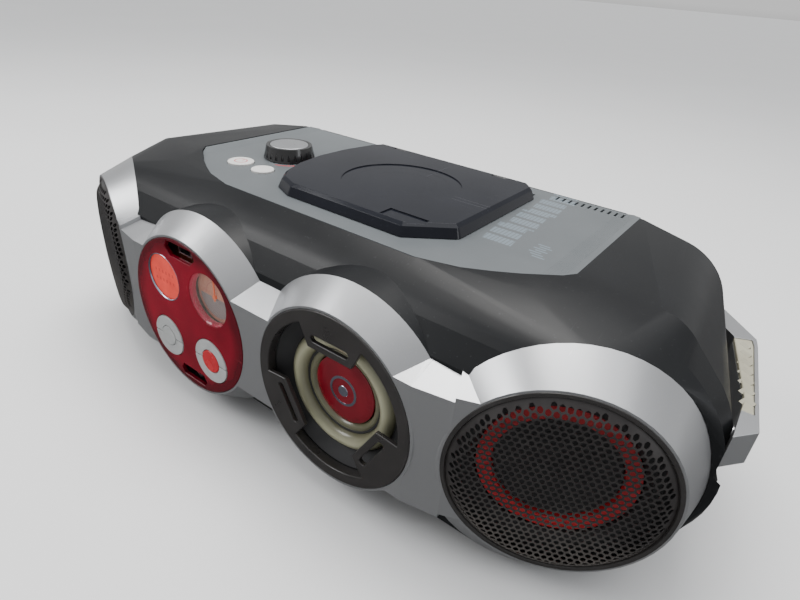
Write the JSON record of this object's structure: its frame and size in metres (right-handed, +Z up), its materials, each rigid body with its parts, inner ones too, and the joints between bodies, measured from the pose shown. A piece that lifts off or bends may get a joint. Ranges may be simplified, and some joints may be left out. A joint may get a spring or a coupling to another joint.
{
  "type": "portable stereo with disc player",
  "caption": "Portable stereo with a top-loading disc player, round speaker pods in a silver front, a tuning dial and a fold-back carry handle.",
  "frame": {"origin": "centre of the bounding box, at the soles of the feet", "axes": "+X to the right seen from the front, +Y from the front pods to the back cover, +Z up"},
  "size_m": [0.5424, 0.2694, 0.171],
  "materials": {
    "silver_paint": "satin silver paint on moulded plastic",
    "black_shell": "fine-textured satin black",
    "grey_panel": "smooth satin grey",
    "lid_gloss": "glossy navy black",
    "black_trim": "semi-gloss black",
    "dark_plastic": "plain black",
    "red_panel": "deep translucent red",
    "lcd_orange": "back-lit orange-red film",
    "dial_card": "printed card",
    "clear_lens": "clear",
    "needle_orange": "bright",
    "button_grey": "silver-grey",
    "button_white": "white",
    "button_red": "red",
    "cap_metal": "spun",
    "cone_paper": "pressed paper",
    "surround_rubber": "translucent olive",
    "grille_metal": "black perforated",
    "basket_steel": "black",
    "steel": "bright",
    "board_green": "circuit board",
    "core_steel": "laminated core",
    "foot_rubber": "soft",
    "handle_silver": "silver moulding",
    "grip_cream": "ribbed cream rubber"
  },
  "bodies": {
    "housing": {"front_frame": "silver_paint", "top_cover": "black_shell", "base_cover": "black_shell", "rear_cover": "black_shell", "top_panel": "grey_panel", "feet": "foot_rubber", "case_screws": "steel", "disc_well": "dark_plastic", "spindle_motor": "steel", "sled_rails": "steel", "control_board": "board_green", "display_panel": "red_panel", "display_board": "board_green", "lcd_glass": "lcd_orange", "dial_plate": "dial_card", "dial_lens": "clear_lens", "woofer_guard": "black_trim", "woofer_driver": "basket_steel", "woofer_surround": "surround_rubber", "woofer_cone": "cone_paper", "woofer_badge": "button_red", "left_grille": "grille_metal", "right_grille": "grille_metal", "left_trim_ring": "red_panel", "right_trim_ring": "red_panel", "left_cone": "cone_paper", "right_cone": "cone_paper", "left_driver": "basket_steel", "right_driver": "basket_steel", "main_board": "board_green", "transformer": "core_steel", "mains_inlet": "dark_plastic", "usb_socket": "steel", "line_in_jack": "dark_plastic", "battery_tray": "dark_plastic", "handle_pivots": "steel", "antenna_mount": "dark_plastic"},
    "lid": {"disc_lid": "lid_gloss", "lid_hinge_pin": "steel", "disc_clamp": "dark_plastic"},
    "spindle": {"spindle_hub": "dark_plastic"},
    "sled": {"laser_sled": "dark_plastic"},
    "knob": {"volume_knob": "black_trim", "volume_cap": "cap_metal"},
    "power": {"power_button": "button_white"},
    "mode": {"mode_button": "button_white"},
    "needle": {"dial_needle": "needle_orange"},
    "search_up": {"search_up_button": "button_grey"},
    "search_down": {"search_down_button": "button_grey"},
    "search_core": {"search_core_button": "button_grey"},
    "track_up": {"track_up_button": "button_grey"},
    "track_down": {"track_down_button": "button_grey"},
    "play": {"play_button": "button_red"},
    "wheel": {"tuning_wheel": "dark_plastic"},
    "door": {"battery_door": "black_shell"},
    "handle": {"carry_handle": "handle_silver", "handle_grips": "grip_cream"},
    "antenna": {"antenna_tube": "steel"},
    "antenna_tip": {"antenna_rod": "steel"}
  },
  "joints": [
    {"name": "lid_hinge", "type": "hinge", "parent": "housing", "child": "lid", "pos_m": [0.009, 0.0737, 0.1652], "axis": [-1, 0, 0], "range_deg": [0, 75]},
    {"name": "spindle_spin", "type": "hinge", "parent": "housing", "child": "spindle", "pos_m": [0.009, 0.0067, 0.148], "axis": [0, 0, 1], "continuous": true},
    {"name": "sled_slide", "type": "slide", "parent": "housing", "child": "sled", "axis": [1, 0, 0], "range_m": [0, 0.033]},
    {"name": "volume_turn", "type": "hinge", "parent": "housing", "child": "knob", "pos_m": [-0.103, 0.0007, 0.163], "axis": [0, 0, 1], "range_deg": [-150, 150]},
    {"name": "power_press", "type": "slide", "parent": "housing", "child": "power", "axis": [0, 0, -1], "range_m": [0, 0.001], "stiffness_N_per_m": 600},
    {"name": "mode_press", "type": "slide", "parent": "housing", "child": "mode", "axis": [0, 0, -1], "range_m": [0, 0.001], "stiffness_N_per_m": 600},
    {"name": "search_up_press", "type": "slide", "parent": "housing", "child": "search_up", "axis": [0, 1, 0], "range_m": [0, 0.001], "stiffness_N_per_m": 600},
    {"name": "search_down_press", "type": "slide", "parent": "housing", "child": "search_down", "axis": [0, 1, 0], "range_m": [0, 0.001], "stiffness_N_per_m": 600},
    {"name": "search_core_press", "type": "slide", "parent": "housing", "child": "search_core", "axis": [0, 1, 0], "range_m": [0, 0.001], "stiffness_N_per_m": 600},
    {"name": "track_up_press", "type": "slide", "parent": "housing", "child": "track_up", "axis": [0, 1, 0], "range_m": [0, 0.001], "stiffness_N_per_m": 600},
    {"name": "track_down_press", "type": "slide", "parent": "housing", "child": "track_down", "axis": [0, 1, 0], "range_m": [0, 0.001], "stiffness_N_per_m": 600},
    {"name": "play_press", "type": "slide", "parent": "housing", "child": "play", "axis": [0, 1, 0], "range_m": [0, 0.001], "stiffness_N_per_m": 600},
    {"name": "tuning_turn", "type": "hinge", "parent": "housing", "child": "wheel", "pos_m": [-0.23037, 0.0097, 0.11568], "axis": [0, 1, 0], "range_deg": [-135, 135]},
    {"name": "needle_turn", "type": "hinge", "parent": "housing", "child": "needle", "pos_m": [-0.0415, -0.1273, 0.1025], "axis": [0, 1, 0], "range_deg": [-45, 45]},
    {"name": "battery_door_hinge", "type": "hinge", "parent": "housing", "child": "door", "pos_m": [0, 0.1038, 0.0202], "axis": [-1, 0, 0], "range_deg": [0, 90]},
    {"name": "handle_fold", "type": "hinge", "parent": "housing", "child": "handle", "pos_m": [0, -0.0293, 0.1005], "axis": [1, 0, 0], "range_deg": [0, 90]},
    {"name": "antenna_swing", "type": "hinge", "parent": "housing", "child": "antenna", "pos_m": [-0.141, 0.1032, 0.134], "axis": [0, -1, 0], "range_deg": [0, 170]},
    {"name": "antenna_extend", "type": "slide", "parent": "antenna", "child": "antenna_tip", "axis": [1, 0, 0], "range_m": [0, 0.18]}
  ],
  "couplings": [
    {"joint": "needle_turn", "follows": "tuning_turn", "ratio": 0.33333}
  ]
}
